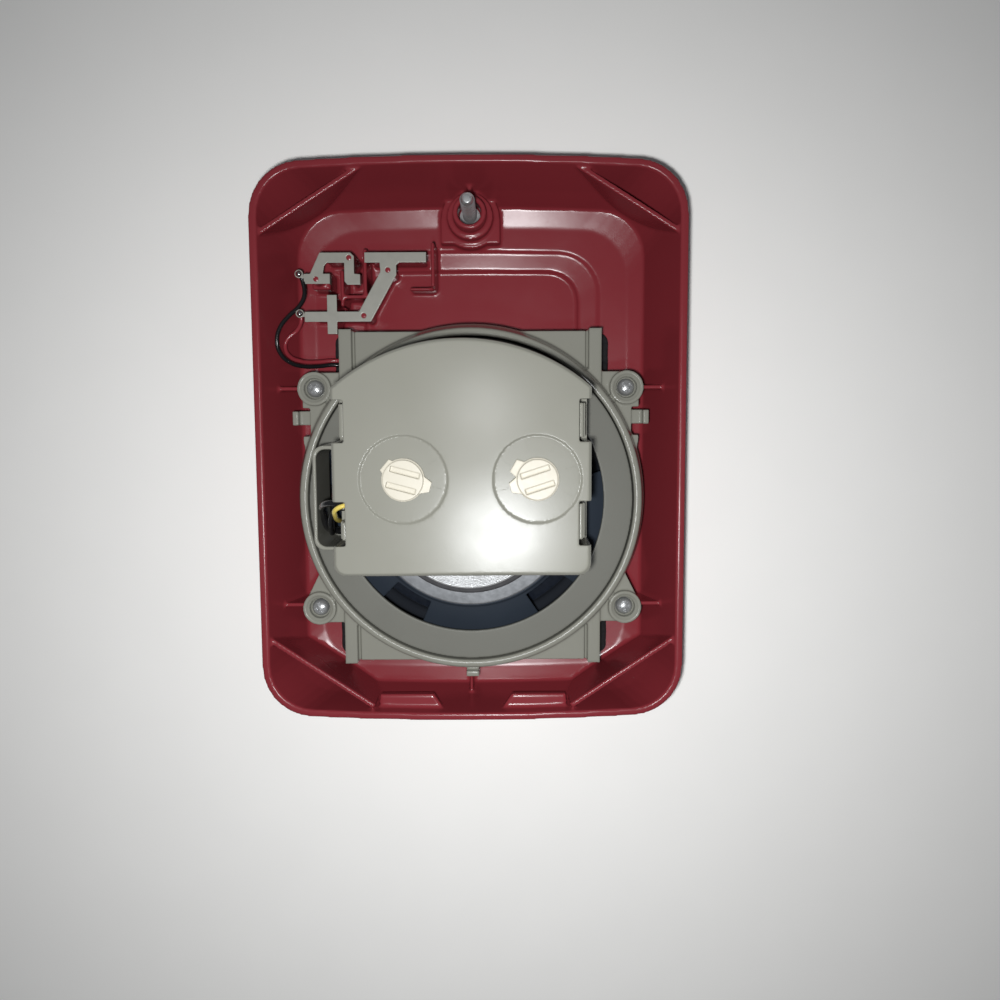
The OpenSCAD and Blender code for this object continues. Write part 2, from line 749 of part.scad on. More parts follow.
module voltage_knob() { knob(volt_x, -15, 140, 6.2); }
module power_knob() { knob(power_x, 198, 150, 7.2); }

// ---------- bus bars and leads ----------

bar_w = 2.95;
tab_drop = 2.6;

// Bent-down end of a bar, from corner low to corner high
module bar_tab(low, high) {
    box([low[0], low[1], bar_z - tab_drop], [high[0], high[1], bar_z + bar_t]);
}

// Solder eyelet at the left end of a bar, set lower than the bar
module eyelet(x, y) {
    tube(x, y, 1.25, 0.45, bar_z - tab_drop, bar_z - tab_drop + bar_t);
}

module bus_bar_upper() {
    color(steel) {
        difference() {
            translate([0, 0, bar_z]) linear_extrude(bar_t) {
                polygon([[-48.4, 47.7], [-41.3, 47.7], [-41.3, 50.6], [-43.1, 50.6], [-42.7, 52.9], [-41.9, 53.75],
                    [-36.8, 53.75], [-36.8, 48.4], [-36, 47.4], [-32.4, 47.4], [-32.4, 50.4], [-33.9, 50.6],
                    [-33.9, 55.6], [-35, 56.7], [-44, 56.7], [-46.9, 50.6], [-48.4, 50.6]]);
            }
            for (p = [bar_holes[0], bar_holes[1]]) disc(p[0], p[1], 0.75, bar_z - 1, bar_z + 2);
        }
        bar_tab([-41.6, 47.7], [-41.1, 50.6]);
        bar_tab([-32.7, 47.4], [-32.2, 50.4]);
        bar_tab([-48.8, 48.4], [-48.3, 50.6]);
        box([-50, 49.6, bar_z - tab_drop], [-48.3, 50.6, bar_z - tab_drop + bar_t]);
        eyelet(-50.7, 50.9);
    }
}

module bus_bar_lower() {
    color(steel) {
        difference() {
            translate([0, 0, bar_z]) linear_extrude(bar_t) {
                polygon([[-48.4, 36.65], [-42.1, 36.65], [-42.1, 33.4], [-39.2, 33.4], [-39.2, 36.65], [-29.2, 36.65],
                    [-21.5, 50.2], [-21.5, 53], [-20.7, 53.75], [-12.9, 53.75], [-12.9, 56.7], [-30.8, 56.7],
                    [-30.8, 53.75], [-26.4, 53.75], [-26.2, 51.1], [-32.7, 39.6], [-39.2, 39.6], [-39.2, 44.5],
                    [-42.1, 44.5], [-42.1, 39.6], [-48.4, 39.6]]);
            }
            for (p = [bar_holes[2], bar_holes[3]]) disc(p[0], p[1], 0.75, bar_z - 1, bar_z + 2);
        }
        bar_tab([-13.2, 53.75], [-12.7, 56.7]);
        bar_tab([-42.1, 33.1], [-39.2, 33.6]);
        bar_tab([-48.8, 36.65], [-48.3, 39.6]);
        box([-50, 38.3, bar_z - tab_drop], [-48.3, 39.3, bar_z - tab_drop + bar_t]);
        eyelet(-50.7, 39.3);
    }
}

lead_r = 0.65;
black_route = [[-50.7, 50.9, 25.3], [-50.7, 50.9, 24.1], [-50, 48.6, 23.2], [-49.6, 45, 23.6], [-51, 41.6, 24.5],
    [-54, 38.6, 25.5], [-56.6, 35.2, 26.3], [-57.6, 31.2, 26.4], [-56.9, 27.6, 25.5], [-54.4, 24.9, 23.5],
    [-50.8, 23.8, 20.6], [-46.5, 23.9, 17.8], [-42, 24.3, 16.4], [-39.3, 23.6, 16.3], [-37, 20, 17],
    [-36.6, 15, 19.4], [-37, 11.6, 21.8], [-37.6, 8.8, 23.5], [-38.9, 6, 25.6], [-40.2, 2, 27.4], [-40.3, -1, 28.9],
    [-40.2, -5, 32.4], [-39.2, -9, 38], [-38.7, -14, 45], [-38.6, -19.6, 48], [-38.2, -23, 51],
    [-38, -21.4, 55], [-37.4, -18, 58], [-35.8, -15.5, 59], [-33.6, -15.3, 58.8], [-30.6, -15.4, 58.4]];
red_route = [[-50.7, 39.3, 25.3], [-50.7, 39.3, 24.1], [-50.9, 36.8, 23.3], [-52.1, 34.3, 24], [-54.6, 32.2, 24.2],
    [-55.7, 29.8, 24], [-55, 27, 22], [-52, 25.4, 19], [-48, 25.2, 16.2], [-43, 25.6, 14.7],
    [-39.4, 25.2, 14.6], [-36.4, 21.4, 15.2], [-34.8, 16, 17.6], [-35.2, 11.4, 21], [-36.8, 5.4, 25.2],
    [-38.5, -0.5, 28.3], [-37.8, -5.5, 33], [-37, -8, 40], [-36.8, -10, 50], [-36.6, -12.2, 56.4],
    [-35.2, -13.4, 59.6], [-33, -13.7, 60.4], [-30.6, -13.8, 60]];
module black_lead() { color(black) wire(black_route, lead_r); }
module red_lead() { color([0.55, 0.08, 0.09]) wire(red_route, lead_r); }

yellow_route = [[-30.6, -13.6, 64.6], [-32.8, -13.8, 65.8], [-34.8, -14.8, 65.2], [-35.6, -17, 61.6],
    [-35.8, -18.8, 56], [-35.7, -19.6, 51.5], [-35.2, -21, 46.5], [-33.8, -22.8, 42.4], [-31.6, -25.4, 39.6],
    [-30.2, -28.6, 37.6], [-29.8, -32, 36], [-30.5, -34.5, 34.8]];
module yellow_wire() { color([0.80, 0.68, 0.12]) wire(yellow_route, lead_r); }

speaker_route = [[-30.6, -13.4, 62.6], [-34.6, -13.4, 62.8], [-37.4, -13.5, 61.6], [-39.6, -14.8, 58],
    [-40.3, -17.4, 53], [-40.3, -21.4, 48.6], [-39.4, -23.4, 43], [-36.4, -24.4, 38.8], [-32.8, -24.6, 36.8],
    [-30.9, -26.9, 35.9], [-31.8, -29, 35.6], [-33.4, -30.2, 35]];
module speaker_wire() { color(black) wire(speaker_route, 0.9); }

// ---------- captive screw ----------

screw_low = 8.2;
screw_head_h = 2.6;
shank_r = 1.7;
thread_low = ledge_high + 1.2;
module captive_screw() {
    color(steel) translate([0, screw_y, 0]) difference() {
        union() {
            disc(0, 0, 3.9, screw_low, screw_low + screw_head_h);
            disc(0, 0, shank_r, screw_low, thread_low + eps);
            disc(0, 0, screw_r, thread_low, screw_tip - 0.8);
            translate([0, 0, screw_tip - 0.8]) cylinder(r1 = screw_r, r2 = screw_r - 0.6, h = 0.8);
        }
        box([-0.5, -5, screw_low - 1], [0.5, 5, screw_low + 1.2]);
    }
}

module screw_retainer() {
    color(steel) tube(0, screw_y, 3.1, shank_r + 0.05, ledge_high + 0.05, ledge_high + 0.75);
}

cover();
grille_cloth();
foam_gasket();
speaker_frame();
frame_screws();
driver_shroud();
basket();
terminal_strip();
top_plate();
magnet();
back_plate();
cone();
dust_cap();
voice_coil_former();
voice_coil();
surround();
spider();
housing_base();
housing_screws();
housing_cover();
circuit_board();
transformer_core();
transformer_winding();
blocking_capacitor();
voltage_switch();
power_switch();
voltage_knob();
power_knob();
bus_bar_upper();
bus_bar_lower();
black_lead();
red_lead();
yellow_wire();
speaker_wire();
captive_screw();
screw_retainer();
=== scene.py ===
"""Looks of the fire alarm wall speaker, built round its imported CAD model. Metres, in the CAD frame."""
import json
import math
import random

import bmesh
import bpy
from mathutils import Matrix, Vector


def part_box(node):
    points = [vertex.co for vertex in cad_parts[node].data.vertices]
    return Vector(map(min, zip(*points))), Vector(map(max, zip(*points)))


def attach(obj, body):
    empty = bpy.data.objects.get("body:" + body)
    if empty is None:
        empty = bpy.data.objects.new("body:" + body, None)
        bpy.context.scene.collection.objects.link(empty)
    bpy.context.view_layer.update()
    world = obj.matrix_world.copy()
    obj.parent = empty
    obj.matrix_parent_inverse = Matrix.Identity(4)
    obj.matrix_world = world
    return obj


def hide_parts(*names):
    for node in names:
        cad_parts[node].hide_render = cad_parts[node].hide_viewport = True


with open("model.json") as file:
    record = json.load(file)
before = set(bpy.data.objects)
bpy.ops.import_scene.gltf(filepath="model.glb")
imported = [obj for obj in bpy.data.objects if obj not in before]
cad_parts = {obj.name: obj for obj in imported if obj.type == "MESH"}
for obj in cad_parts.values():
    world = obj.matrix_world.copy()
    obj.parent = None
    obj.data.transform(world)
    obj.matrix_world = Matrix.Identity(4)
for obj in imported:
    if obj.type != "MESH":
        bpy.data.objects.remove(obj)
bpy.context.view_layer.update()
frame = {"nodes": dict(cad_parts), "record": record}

MM = 0.001
NODES = frame["nodes"]
SLOT_OF = {part["node"]: part["material_slot"] for part in frame["record"]["subparts"]}
DRIVER = Vector((0, -16.2 * MM, 0))          # foot of the driver's axis


# ---------- camera, lights and floor ----------

CAMERA_AT = Vector((8.8, 16.8, 327.8)) * MM
CAMERA_TILT = math.radians(-6.36)             # straight down, leaning a little towards the lower edge
CAMERA_ROLL = math.radians(-0.3)
SENSOR_WIDTH = 36
WORLD_COLOUR = (0.92, 0.95, 1.0, 1)
WORLD_STRENGTH = 0.085
FLOOR_HALF = 1.5
FLOOR_DROP = 0.0002                           # keeps the floor clear of the grille's face


def add_camera():
    data = bpy.data.cameras.new("camera")
    data.sensor_width = SENSOR_WIDTH
    data.lens = SENSOR_WIDTH
    data.clip_start = 0.01
    camera = bpy.data.objects.new("camera", data)
    bpy.context.scene.collection.objects.link(camera)
    camera.location = CAMERA_AT
    camera.rotation_euler = (CAMERA_TILT, 0, CAMERA_ROLL)
    bpy.context.scene.camera = camera


def add_light(name, place, target, size, watts, colour=(1, 1, 1), glints=True, diffuse=True, spread=180):
    """Round lamp that may be left out of reflections (glints) or of plain shading (diffuse)."""
    data = bpy.data.lights.new(name, "AREA")
    data.shape = "DISK"
    data.spread = math.radians(spread)
    data.size = size
    data.energy = watts
    data.color = colour
    light = bpy.data.objects.new(name, data)
    bpy.context.scene.collection.objects.link(light)
    light.location = place
    light.visible_glossy = glints
    light.visible_diffuse = diffuse
    light.rotation_euler = (Vector(target) - Vector(place)).to_track_quat("-Z", "Y").to_euler()


def add_world():
    world = bpy.data.worlds.new("studio")
    world.use_nodes = True
    background = world.node_tree.nodes["Background"]
    background.inputs["Color"].default_value = WORLD_COLOUR
    background.inputs["Strength"].default_value = WORLD_STRENGTH
    bpy.context.scene.world = world


def add_floor():
    mesh = bpy.data.meshes.new("floor")
    corners = [(x * FLOOR_HALF, y * FLOOR_HALF, 0) for x, y in ((-1, -1), (1, -1), (1, 1), (-1, 1))]
    mesh.from_pydata(corners, [], [(0, 1, 2, 3)])
    floor = bpy.data.objects.new("floor", mesh)
    bpy.context.scene.collection.objects.link(floor)
    floor.location.z = -FLOOR_DROP
    mesh.materials.append(material("floor_white", (0.84, 0.845, 0.84), rough=0.5, tint=0.01, shine=0.3))


# ---------- materials ----------

COAT_ROUGHNESS = 0.12
WAVE_SCALE = 0.314                            # over a pitch, this makes a wave texture repeat at that pitch


def add_node(tree, kind, **inputs):
    node = tree.nodes.new(kind)
    for key, value in inputs.items():
        node.inputs[key.replace("_", " ")].default_value = value
    return node


def noise(tree, place, scale, detail=3.0, rough=0.5):
    node = add_node(tree, "ShaderNodeTexNoise", Scale=scale, Detail=detail, Roughness=rough)
    tree.links.new(place, node.inputs["Vector"])
    return node.outputs["Fac"]


def spread(tree, value, low, high):
    """Map the middle of a 0 to 1 pattern onto low to high."""
    node = add_node(tree, "ShaderNodeMapRange", From_Min=0.2, From_Max=0.8, To_Min=low, To_Max=high)
    tree.links.new(value, node.inputs["Value"])
    return node.outputs["Result"]


def weave(tree, place, pitch):
    """Over and under pattern of two sets of threads."""
    parts = []
    for direction in ("X", "Y"):
        node = add_node(tree, "ShaderNodeTexWave", Scale=WAVE_SCALE / pitch, Distortion=0.4, Detail=1.0)
        node.bands_direction = direction
        tree.links.new(place, node.inputs["Vector"])
        parts.append(node.outputs["Fac"])
    both = tree.nodes.new("ShaderNodeMath")
    both.operation = "MULTIPLY"
    tree.links.new(parts[0], both.inputs[0])
    tree.links.new(parts[1], both.inputs[1])
    return both.outputs[0]


def turned(tree, place, pitch):
    """Fine rings of a turned face round the driver's axis."""
    moved = add_node(tree, "ShaderNodeMapping", Location=tuple(-DRIVER))
    tree.links.new(place, moved.inputs["Vector"])
    node = add_node(tree, "ShaderNodeTexWave", Scale=WAVE_SCALE / pitch, Distortion=1.5, Detail=2.0)
    node.wave_type = "RINGS"
    node.rings_direction = "Z"
    tree.links.new(moved.outputs["Vector"], node.inputs["Vector"])
    return node.outputs["Fac"]


def cells(tree, place, scale):
    node = add_node(tree, "ShaderNodeTexVoronoi", Scale=scale)
    tree.links.new(place, node.inputs["Vector"])
    return node.outputs["Distance"]


def material(name, colour, rough=0.5, metal=0.0, coat=0.0, tint=0.06, tint_scale=45.0, rough_spread=0.06,
             bump=0.0, bump_scale=900.0, pattern=None, pitch=0.0005, second=None, sheen=0.0, shine=0.5):
    """Procedural surface: mottled colour, uneven roughness and a fine relief that fits the pattern."""
    made = bpy.data.materials.new(name)
    made.use_nodes = True
    tree = made.node_tree
    shader = tree.nodes["Principled BSDF"]
    shader.inputs["Metallic"].default_value = metal
    shader.inputs["Specular IOR Level"].default_value = shine
    shader.inputs["Coat Weight"].default_value = coat
    shader.inputs["Coat Roughness"].default_value = COAT_ROUGHNESS
    shader.inputs["Sheen Weight"].default_value = sheen
    place = tree.nodes.new("ShaderNodeTexCoord").outputs["Object"]
    broad = noise(tree, place, tint_scale, 4.0)
    mix = tree.nodes.new("ShaderNodeMix")
    mix.data_type = "RGBA"
    dark = [c * (1 - tint) for c in colour]
    light = [min(1.0, c * (1 + tint)) for c in (second or colour)]
    mix.inputs["A"].default_value = (*dark, 1)
    mix.inputs["B"].default_value = (*light, 1)
    relief = {
        None: lambda: noise(tree, place, bump_scale, 2.0),
        "weave": lambda: weave(tree, place, pitch),
        "turned": lambda: turned(tree, place, pitch),
        "cells": lambda: cells(tree, place, bump_scale),
    }[pattern]()
    tree.links.new(spread(tree, relief if second else broad, 0, 1), mix.inputs["Factor"])
    tree.links.new(mix.outputs["Result"], shader.inputs["Base Color"])
    patchy = noise(tree, place, tint_scale * 3.1, 5.0, 0.6)
    tree.links.new(spread(tree, patchy, max(0.02, rough - rough_spread), rough + rough_spread),
                   shader.inputs["Roughness"])
    if bump:
        height = add_node(tree, "ShaderNodeBump", Strength=1.0, Distance=bump)
        tree.links.new(relief, height.inputs["Height"])
        tree.links.new(height.outputs["Normal"], shader.inputs["Normal"])
    return made


RED = (0.175, 0.021, 0.028)
GREY = (0.190, 0.192, 0.168)
FINISHES = {
    "red_plastic": dict(colour=RED, rough=0.20, tint=0.05, tint_scale=25, rough_spread=0.04,
        bump=0.000006, bump_scale=260),
    "grey_plastic": dict(colour=GREY, rough=0.19, tint=0.03, tint_scale=30, rough_spread=0.03,
        bump=0.000003, bump_scale=1500, shine=0.32),
    "dark_grey_plastic": dict(colour=(0.132, 0.134, 0.120), rough=0.45, tint=0.05, bump=0.00002,
        bump_scale=1300),
    "ivory_plastic": dict(colour=(0.46, 0.44, 0.375), rough=0.30, tint=0.03, tint_scale=120,
        bump=0.00001, bump_scale=900),
    "black_plastic": dict(colour=(0.03, 0.03, 0.032), rough=0.45, bump=0.00002),
    "navy_paint": dict(colour=(0.026, 0.034, 0.047), rough=0.42, tint=0.12, bump=0.00001,
        bump_scale=700),
    "zinc_steel": dict(colour=(0.70, 0.71, 0.72), rough=0.30, metal=0.85, tint=0.16, tint_scale=260,
        rough_spread=0.07, bump=0.000003, bump_scale=1600),
    "ferrite": dict(colour=(0.035, 0.035, 0.038), rough=0.55, tint=0.3, tint_scale=400, bump=0.00004,
        bump_scale=1400),
    "core_steel": dict(colour=(0.16, 0.16, 0.17), rough=0.45, metal=0.8, tint=0.2, tint_scale=300),
    "tinned_brass": dict(colour=(0.37, 0.37, 0.335), rough=0.26, metal=0.45, tint=0.07, tint_scale=320,
        rough_spread=0.02, bump=0.000001, bump_scale=900),
    "black_foam": dict(colour=(0.012, 0.012, 0.013), rough=0.9, tint=0.4, tint_scale=900, bump=0.0001,
        bump_scale=1500, pattern="cells"),
    "black_rubber": dict(colour=(0.012, 0.014, 0.018), rough=0.85, bump=0.00002),
    "black_cloth": dict(colour=(0.012, 0.012, 0.012), second=(0.05, 0.05, 0.05), rough=0.85,
        bump=0.00012, pattern="weave", pitch=0.0006, sheen=0.2),
    "tan_cloth": dict(colour=(0.34, 0.25, 0.11), second=(0.55, 0.45, 0.24), rough=0.7, bump=0.00006,
        pattern="weave", pitch=0.0004),
    "black_paper": dict(colour=(0.010, 0.013, 0.020), rough=0.9, tint=0.3, tint_scale=700, bump=0.00008,
        bump_scale=700),
    "kapton": dict(colour=(0.45, 0.16, 0.02), rough=0.25, coat=0.3, tint=0.1),
    "copper_wire": dict(colour=(0.50, 0.17, 0.06), second=(0.75, 0.33, 0.14), rough=0.3, metal=0.8,
        bump=0.00005, pattern="weave", pitch=0.0003),
    "brown_board": dict(colour=(0.12, 0.06, 0.025), rough=0.5, tint=0.2, tint_scale=500, bump=0.00002),
    "green_board": dict(colour=(0.01, 0.10, 0.035), second=(0.02, 0.16, 0.06), rough=0.3, coat=0.3,
        bump=0.00003, pattern="weave", pitch=0.0008),
    "blue_sleeve": dict(colour=(0.02, 0.03, 0.12), rough=0.25, coat=0.4, tint=0.1),
    "black_insulation": dict(colour=(0.008, 0.008, 0.009), rough=0.2, coat=0.5, tint=0.2,
        tint_scale=500, bump=0.00001, bump_scale=500),
    "red_insulation": dict(colour=(0.19, 0.022, 0.030), rough=0.22, coat=0.5, tint=0.1, tint_scale=500,
        bump=0.00001, bump_scale=500),
    "yellow_insulation": dict(colour=(0.55, 0.44, 0.10), rough=0.3, coat=0.3, tint=0.08, tint_scale=500,
        bump=0.00001, bump_scale=500),
    "plated_steel": dict(colour=(0.22, 0.23, 0.245), rough=0.42, metal=0.6, tint=0.25, tint_scale=420,
        rough_spread=0.12, bump=0.00002, bump_scale=900),
    "turned_steel": dict(colour=(0.42, 0.43, 0.44), rough=0.30, metal=0.5, tint=0.15, tint_scale=180,
        rough_spread=0.12, bump=0.00003, pattern="turned", pitch=0.0004),
    "solder": dict(colour=(0.70, 0.70, 0.69), rough=0.2, metal=1.0, tint=0.1, tint_scale=600,
        bump=0.00004, bump_scale=900),
}
MATERIALS = {name: material(name, **look) for name, look in FINISHES.items()}


# ---------- mesh tools ----------

def new_piece(name, mesh, finish, body="cover", replaced=None):
    """Link a finished mesh as a piece that rides on a body and stands for a CAD node."""
    piece = bpy.data.objects.new(name, mesh)
    bpy.context.scene.collection.objects.link(piece)
    mesh.materials.clear()
    mesh.materials.append(MATERIALS[finish])
    if replaced:
        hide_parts(replaced)
    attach(piece, body)
    return piece


def baked(piece):
    """The piece's mesh with its modifiers applied."""
    graph = bpy.context.evaluated_depsgraph_get()
    mesh = bpy.data.meshes.new_from_object(piece.evaluated_get(graph))
    bpy.data.objects.remove(piece)
    return mesh


def scratch_copy(node):
    copy = bpy.data.objects.new("scratch", NODES[node].data.copy())
    bpy.context.scene.collection.objects.link(copy)
    return copy


def smooth_shading(mesh, angle=40):
    for polygon in mesh.polygons:
        polygon.use_smooth = True
    mesh.set_sharp_from_angle(angle=math.radians(angle))


def moulded(name, node, voxel, keep, relax=3, body="cover"):
    """Rebuild a CAD node's shape with the small round edges of a moulded or pressed part."""
    copy = scratch_copy(node)
    rebuild = copy.modifiers.new("rebuild", "REMESH")
    rebuild.mode = "VOXEL"
    rebuild.voxel_size = voxel * 1
    ease = copy.modifiers.new("ease", "SMOOTH")
    ease.factor = 0.5
    ease.iterations = relax
    thin = copy.modifiers.new("thin", "DECIMATE")
    thin.ratio = keep
    mesh = baked(copy)
    for polygon in mesh.polygons:
        polygon.use_smooth = True
    return new_piece(name, mesh, SLOT_OF[node], body, node)


def lathe(profile, centre, steps=160):
    """Closed ring or disc turned from (radius, height) points in millimetres."""
    work = bmesh.new()
    rings = []
    for step in range(steps):
        angle = 2 * math.pi * step / steps
        out = Vector((math.cos(angle), math.sin(angle), 0))
        rings.append([work.verts.new(centre + (out * r + Vector((0, 0, z))) * MM) for r, z in profile])
    count = len(profile)
    for step in range(steps):
        ahead = rings[(step + 1) % steps]
        here = rings[step]
        for k in range(count):
            n = (k + 1) % count
            work.faces.new((here[k], ahead[k], ahead[n], here[n]))
    bmesh.ops.remove_doubles(work, verts=work.verts, dist=1e-7)
    bmesh.ops.recalc_face_normals(work, faces=work.faces)
    mesh = bpy.data.meshes.new("lathe")
    work.to_mesh(mesh)
    work.free()
    smooth_shading(mesh, 32)
    return mesh


def eased(profile, radius, steps=4):
    """Round every corner of a closed (radius, height) outline."""
    out = []
    count = len(profile)
    for k in range(count):
        here = Vector(profile[k])
        before = Vector(profile[k - 1]) - here
        after = Vector(profile[(k + 1) % count]) - here
        if here.x == 0:
            out.append(tuple(here))
            continue
        cut = min(radius, before.length * 0.4, after.length * 0.4)
        start = here + before.normalized() * cut
        end = here + after.normalized() * cut
        for i in range(steps + 1):
            t = i / steps
            point = start * (1 - t) ** 2 + here * 2 * t * (1 - t) + end * t ** 2
            out.append((point.x, point.y))
    return out


def tube_along(route, radius):
    """Round wire through every point of a route in millimetres."""
    curve = bpy.data.curves.new("route", "CURVE")
    curve.dimensions = "3D"
    spline = curve.splines.new("BEZIER")
    spline.bezier_points.add(len(route) - 1)
    for point, place in zip(spline.bezier_points, route):
        point.co = Vector(place) * MM
        point.handle_left_type = "AUTO"
        point.handle_right_type = "AUTO"
    curve.resolution_u = 6
    curve.bevel_depth = radius * MM
    curve.bevel_resolution = 4
    curve.use_fill_caps = True
    scratch = bpy.data.objects.new("scratch", curve)
    bpy.context.scene.collection.objects.link(scratch)
    mesh = baked(scratch)
    smooth_shading(mesh, 60)
    return mesh


def joined(meshes):
    """One mesh from several."""
    work = bmesh.new()
    for mesh in meshes:
        work.from_mesh(mesh)
    out = bpy.data.meshes.new("joined")
    work.to_mesh(out)
    work.free()
    return out


def moved(mesh, matrix):
    copy = mesh.copy()
    copy.transform(matrix)
    return copy


def blob(place, size, seed):
    """Small uneven drop of solder."""
    rng = random.Random(seed)
    work = bmesh.new()
    bmesh.ops.create_icosphere(work, subdivisions=3, radius=1)
    for vert in work.verts:
        swell = 1 + 0.06 * math.sin(5 * vert.co.x + seed) + rng.uniform(-0.015, 0.015)
        vert.co = Vector((vert.co.x * size[0], vert.co.y * size[1], vert.co.z * size[2])) * swell * MM
    bmesh.ops.translate(work, verts=work.verts, vec=Vector(place) * MM)
    mesh = bpy.data.meshes.new("blob")
    work.to_mesh(mesh)
    work.free()
    smooth_shading(mesh, 80)
    return mesh


# ---------- moulded and pressed parts ----------

def add_moulded_parts():
    moulded("cover_shell", "cover", 0.00045, 0.2)
    moulded("frame_moulding", "speaker_frame", 0.0003, 0.25)
    moulded("shroud_moulding", "driver_shroud", 0.0003, 0.25)
    moulded("housing_cap", "housing_cover", 0.00025, 0.3, relax=2)
    moulded("housing_tray", "housing_base", 0.0003, 0.3, relax=2)
    moulded("basket_pressing", "basket", 0.0003, 0.3)
    moulded("voltage_selector", "voltage_knob", 0.00013, 0.3, body="voltage_knob")
    moulded("power_selector", "power_knob", 0.00013, 0.3, body="power_knob")
    moulded("upper_contact_strip", "bus_bar_upper", 0.00011, 0.35, relax=2)
    moulded("lower_contact_strip", "bus_bar_lower", 0.00011, 0.35, relax=2)


# ---------- turned driver parts ----------

def add_turned_parts():
    plate = eased([(10.8, 36), (29.9, 36), (29.9, 40), (10.8, 40)], 0.5)
    turned_plate = lathe(plate, DRIVER)
    new_piece("top_plate_turned", turned_plate, "plated_steel", replaced="top_plate")
    ring = eased([(14, 40), (25, 40), (25, 47), (14, 47)], 0.6)
    new_piece("ferrite_ring", lathe(ring, DRIVER), "ferrite", replaced="magnet")
    pole = [(0, 36), (9.1, 36), (9.1, 47)]
    back = [(23.1, 47), (23.1, 50), (3.2, 50), (2.6, 49.2), (0, 49.2)]
    yoke = lathe(eased(pole + back, 0.4), DRIVER)
    new_piece("yoke_turned", yoke, "turned_steel", replaced="back_plate")


# ---------- screws ----------

EAR_X = 46.4
EAR_Y = 33.2
HEAD_SEAT = 27.0                              # height of the heads' seat in the ears
SHANK = [(0, 12.2), (1.1, 12.2), (1.45, 14), (1.45, 26.8), (0, 26.8)]
COVER_SCREW = [(0, 8.2), (3.9, 8.2), (3.9, 10.8), (1.7, 10.8), (1.7, 17.2), (1.72, 17.4), (1.72, 46),
               (1.2, 47), (0, 47)]


def screw_head():
    """Pan head with a cross recess, seated at the origin's height."""
    steps = 120
    work = bmesh.new()
    radii = [0.15 * k for k in range(1, 16)] + [2.37, 2.48, 2.57, 2.64, 2.68, 2.7]
    rows = []
    for r in radii:
        row = []
        for step in range(steps):
            angle = 2 * math.pi * step / steps
            x = r * math.cos(angle)
            y = r * math.sin(angle)
            dome = 1.75 * math.sqrt(max(0.0, 1 - (r / 2.72) ** 7)) - 0.11 * r * r
            arm = min(abs(x), abs(y))
            reach = max(abs(x), abs(y))
            depth = max(0.0, min(1.0, (0.55 - arm) / 0.14)) * max(0.0, min(1.0, (1.75 - reach) / 0.4))
            row.append(work.verts.new((x, y, dome - 0.9 * depth)))
        rows.append(row)
    middle = work.verts.new((0, 0, 0.85))
    for step in range(steps):
        n = (step + 1) % steps
        work.faces.new((middle, rows[0][step], rows[0][n]))
        for a, b in zip(rows, rows[1:]):
            work.faces.new((a[step], b[step], b[n], a[n]))
    foot = [work.verts.new((v.co.x, v.co.y, -0.4)) for v in rows[-1]]
    for step in range(steps):
        n = (step + 1) % steps
        work.faces.new((rows[-1][step], foot[step], foot[n], rows[-1][n]))
    work.faces.new(list(reversed(foot)))
    for vert in work.verts:
        vert.co *= MM
    mesh = bpy.data.meshes.new("head")
    work.to_mesh(mesh)
    work.free()
    smooth_shading(mesh, 50)
    return mesh


def thread(radius, low, high, pitch, centre, depth=0.32, sides=40):
    """Screw thread as one helical ridge wound round a core."""
    work = bmesh.new()
    turns = (high - low) / pitch
    steps = int(turns * sides)
    shape = [(-0.5, -depth), (-0.12, 0), (0.12, 0), (0.5, -depth)]
    rows = []
    for step in range(steps + 1):
        angle = 2 * math.pi * step / sides
        rise = low + pitch * step / sides
        fade = min(1.0, step / sides, (steps - step) / sides)
        row = []
        for along, lift in shape:
            r = radius - depth + (lift + depth) * fade
            row.append(work.verts.new((r * math.cos(angle), r * math.sin(angle), rise + along * pitch)))
        rows.append(row)
    for a, b in zip(rows, rows[1:]):
        for k in range(len(shape) - 1):
            work.faces.new((a[k], b[k], b[k + 1], a[k + 1]))
        work.faces.new((a[-1], b[-1], b[0], a[0]))
    work.faces.new(rows[0])
    work.faces.new(list(reversed(rows[-1])))
    bmesh.ops.recalc_face_normals(work, faces=work.faces)
    for vert in work.verts:
        vert.co = vert.co * MM + centre
    mesh = bpy.data.meshes.new("thread")
    work.to_mesh(mesh)
    work.free()
    smooth_shading(mesh, 25)
    return mesh


def add_screws():
    head = screw_head()
    meshes = []
    for k, (sx, sy) in enumerate(((-1, -1), (-1, 1), (1, -1), (1, 1))):
        at = DRIVER + Vector((sx * EAR_X, sy * EAR_Y, 0)) * MM
        turn = Matrix.Rotation(math.radians(20 + 37 * k), 4, "Z")
        seat = Matrix.Translation(at + Vector((0, 0, HEAD_SEAT * MM)))
        meshes.append(moved(head, seat @ turn))
        meshes.append(lathe(eased(SHANK, 0.2), at, 40))
    screws = joined(meshes)
    new_piece("ear_screws", screws, "zinc_steel", replaced="frame_screws")
    centre = Vector((0, 68.5, 0)) * MM
    core = lathe(eased(COVER_SCREW, 0.35), centre, 72)
    ridge = thread(2.08, 17.6, 45.8, 0.79, centre)
    new_piece("cover_screw", joined([core, ridge]), "zinc_steel", "captive_screw", "captive_screw")


# ---------- leads ----------

